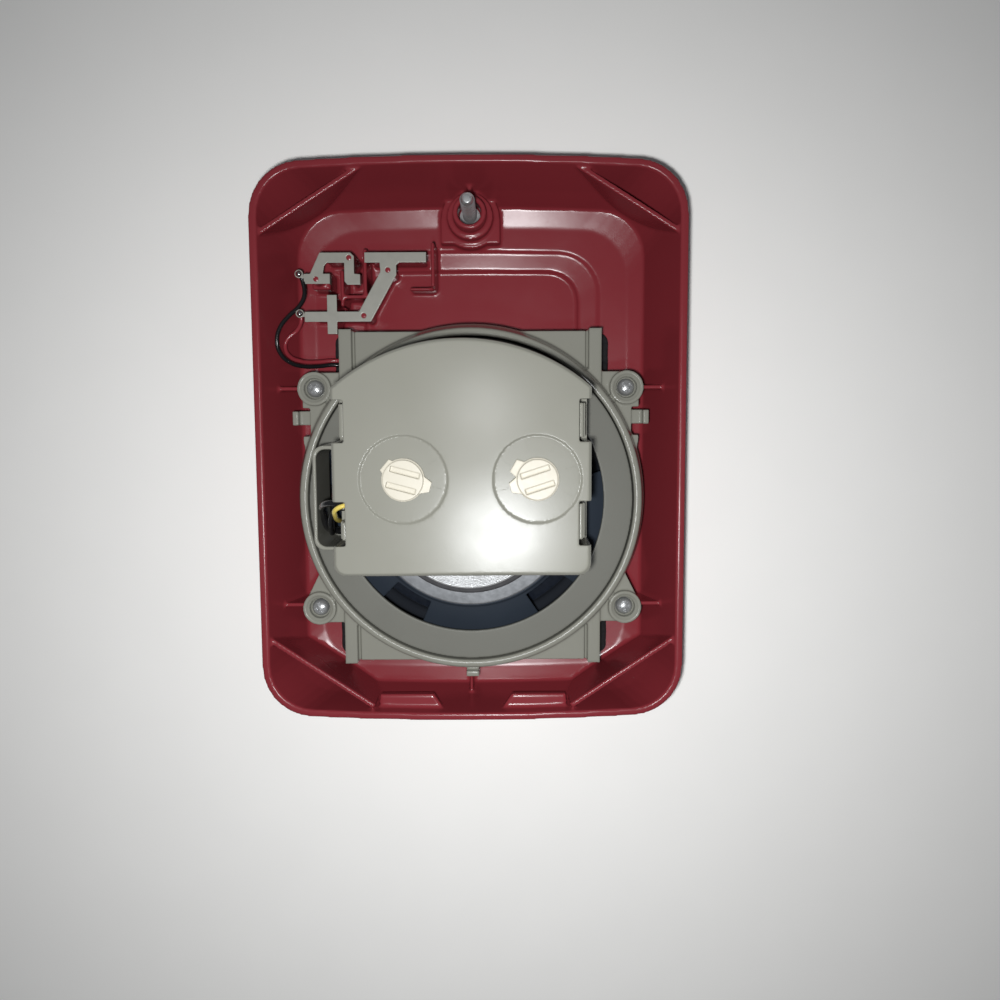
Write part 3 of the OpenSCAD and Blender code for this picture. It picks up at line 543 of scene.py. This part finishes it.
LEAD_R = 0.65
BLACK_ROUTE = [
    (-50.7, 50.9, 25.3), (-50.7, 50.9, 24.1), (-50, 48.6, 23.2), (-49.6, 45, 23.6), (-51, 41.6, 24.5),
    (-54, 38.6, 25.5), (-56.6, 35.2, 26.3), (-57.6, 31.2, 26.4), (-56.9, 27.6, 25.5), (-54.4, 24.9, 23.5),
    (-50.8, 23.8, 20.6), (-46.5, 23.9, 17.8), (-42, 24.3, 16.4), (-39.3, 23.6, 16.3), (-37, 20, 17),
    (-36.6, 15, 19.4), (-37, 11.6, 21.8), (-37.6, 8.8, 23.5), (-38.9, 6, 25.6), (-40.2, 2, 27.4),
    (-40.3, -1, 28.9), (-40.2, -5, 32.4), (-39.2, -9, 38), (-38.7, -14, 45), (-38.6, -19.6, 48),
    (-38.2, -23, 51), (-38, -21.4, 55), (-37.4, -18, 58), (-35.8, -15.5, 59), (-33.6, -15.3, 58.8),
    (-30.6, -15.4, 58.4)]
RED_ROUTE = [
    (-50.7, 39.3, 25.3), (-50.7, 39.3, 24.1), (-50.9, 36.8, 23.3), (-52.1, 34.3, 24), (-54.6, 32.2, 24.2),
    (-55.7, 29.8, 24), (-55, 27, 22), (-52, 25.4, 19), (-48, 25.2, 16.2), (-43, 25.6, 14.7),
    (-39.4, 25.2, 14.6), (-36.4, 21.4, 15.2), (-34.8, 16, 17.6), (-35.2, 11.4, 21), (-36.8, 5.4, 25.2),
    (-38.5, -0.5, 28.3), (-37.8, -5.5, 33), (-37, -8, 40), (-36.8, -10, 50), (-36.6, -12.2, 56.4),
    (-35.2, -13.4, 59.6), (-33, -13.7, 60.4), (-30.6, -13.8, 60)]
YELLOW_ROUTE = [
    (-30.6, -13.6, 64.6), (-32.8, -13.8, 65.8), (-34.8, -14.8, 65.2), (-35.6, -17, 61.6),
    (-35.8, -18.8, 56), (-35.7, -19.6, 51.5), (-35.2, -21, 46.5), (-33.8, -22.8, 42.4),
    (-31.6, -25.4, 39.6), (-30.2, -28.6, 37.6), (-29.8, -32, 36), (-30.5, -34.5, 34.8)]
SPEAKER_ROUTE = [
    (-30.6, -13.4, 62.6), (-34.6, -13.4, 62.8), (-37.4, -13.5, 61.6), (-39.6, -14.8, 58),
    (-40.3, -17.4, 53), (-40.3, -21.4, 48.6), (-39.4, -23.4, 43), (-36.4, -24.4, 38.8),
    (-32.8, -24.6, 36.8), (-30.9, -26.9, 35.9), (-31.8, -29, 35.6), (-33.4, -30.2, 35)]


def add_leads():
    leads = (
        ("black_lead_wire", "black_lead", BLACK_ROUTE, LEAD_R),
        ("red_lead_wire", "red_lead", RED_ROUTE, LEAD_R),
        ("yellow_lead_wire", "yellow_wire", YELLOW_ROUTE, LEAD_R),
        ("speaker_lead_wire", "speaker_wire", SPEAKER_ROUTE, 0.9),
    )
    for name, node, route, radius in leads:
        new_piece(name, tube_along(route, radius), SLOT_OF[node], replaced=node)
    joints = [((-50.7, 50.9, 25.7), (1.0, 1.0, 0.7)), ((-50.7, 39.3, 25.7), (1.0, 1.0, 0.7)),
              ((-30.7, -34.9, 34.0), (0.9, 0.9, 0.6)), ((-33.3, -30.1, 34.0), (1.0, 0.9, 0.6))]
    drops = joined([blob(place, size, k + 1) for k, (place, size) in enumerate(joints)])
    new_piece("solder_joints", drops, "solder")


# ---------- soft parts ----------

CLOTH_LAYER = 0.0002                          # height of the sheet's middle above the CAD cloth's foot
THREAD_LIFT = 0.00006
THREAD_WAVE = 0.00105


def add_grille_cloth():
    """Open cloth stretched behind the slots, with its threads as relief."""
    low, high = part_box("grille_cloth")
    radius = (high.x - low.x) / 2
    layer = low.z + CLOTH_LAYER
    work = bmesh.new()
    rings = 60
    steps = 180
    rows = []
    for ring in range(1, rings + 1):
        r = radius * ring / rings
        row = []
        for step in range(steps):
            angle = 2 * math.pi * step / steps
            x = r * math.cos(angle)
            y = r * math.sin(angle)
            lift = THREAD_LIFT * math.sin(x / THREAD_WAVE) * math.sin(y / THREAD_WAVE)
            row.append(work.verts.new((x, y + DRIVER.y, layer + lift)))
        rows.append(row)
    middle = work.verts.new((0, DRIVER.y, layer))
    for step in range(steps):
        n = (step + 1) % steps
        work.faces.new((middle, rows[0][step], rows[0][n]))
        for a, b in zip(rows, rows[1:]):
            work.faces.new((a[step], b[step], b[n], a[n]))
    mesh = bpy.data.meshes.new("cloth")
    work.to_mesh(mesh)
    work.free()
    smooth_shading(mesh, 80)
    cloth = new_piece("stretched_cloth", mesh, "black_cloth", replaced="grille_cloth")


def add_gasket():
    """Foam with soft edges and a slightly uneven cut."""
    unevenness = 0.00007
    gasket = moulded("foam_seal", "foam_gasket", 0.00035, 0.5)
    for vert in gasket.data.vertices:
        wave = math.sin(vert.co.x * 900) * math.sin(vert.co.y * 1100)
        vert.co += vert.normal * unevenness * wave


# ---------- small moulded marks ----------

def bar_mesh(length, width, height):
    work = bmesh.new()
    bmesh.ops.create_cube(work, size=1)
    bmesh.ops.scale(work, vec=(length * MM, width * MM, height * MM), verts=work.verts)
    round_off = 0.3 * min(width, height) * MM
    bmesh.ops.bevel(work, geom=work.edges[:], offset=round_off, segments=2, affect="EDGES")
    mesh = bpy.data.meshes.new("bar")
    work.to_mesh(mesh)
    work.free()
    smooth_shading(mesh, 40)
    return mesh


def add_dial_marks():
    """Raised ticks round the two selectors, one for each place that the selector stops at."""
    face_z = 72.04
    dials = ((-16.2, (-15, 30)), (18.3, (198, 153, 108, 63, 18, -27)))
    tick = bar_mesh(1.5, 0.34, 0.16)
    dot = bar_mesh(0.5, 0.5, 0.16)
    meshes = []
    for x, angles in dials:
        for angle in angles:
            turn = Matrix.Rotation(math.radians(angle), 4, "Z")
            middle = Matrix.Translation(Vector((x, -6.4, face_z)) * MM)
            meshes.append(moved(tick, middle @ turn @ Matrix.Translation((0.0094, 0, 0))))
            meshes.append(moved(dot, middle @ turn @ Matrix.Translation((0.0079, 0, 0))))
    new_piece("dial_marks", joined(meshes), "grey_plastic")


# ---------- the scene ----------

def finish_cad_nodes():
    for name, node in NODES.items():
        node.data.materials.clear()
        node.data.materials.append(MATERIALS[SLOT_OF[name]])
        smooth_shading(node.data, 35)


add_camera()
add_world()
add_floor()
FLASH_AT = CAMERA_AT + Vector((-8, -9, 0)) * MM
GLARE_AT = (0.0095, -0.098, 0.60)
FLASH_TINT = (1.0, 0.99, 0.975)
DAYLIGHT = (0.97, 0.99, 1.0)
add_light("flash", FLASH_AT, (0.006, -0.09, 0), 0.012, 0.66, FLASH_TINT, glints=False, spread=135)
add_light("glint", FLASH_AT, (0.006, -0.04, 0), 0.035, 0.035)
add_light("glare", GLARE_AT, (0.005, -0.02, 0.07), 0.045, 0.75, DAYLIGHT, diffuse=False)
finish_cad_nodes()
add_moulded_parts()
add_turned_parts()
add_screws()
add_leads()
add_grille_cloth()
add_gasket()
add_dial_marks()

scene = bpy.context.scene
scene.view_settings.view_transform = "Standard"
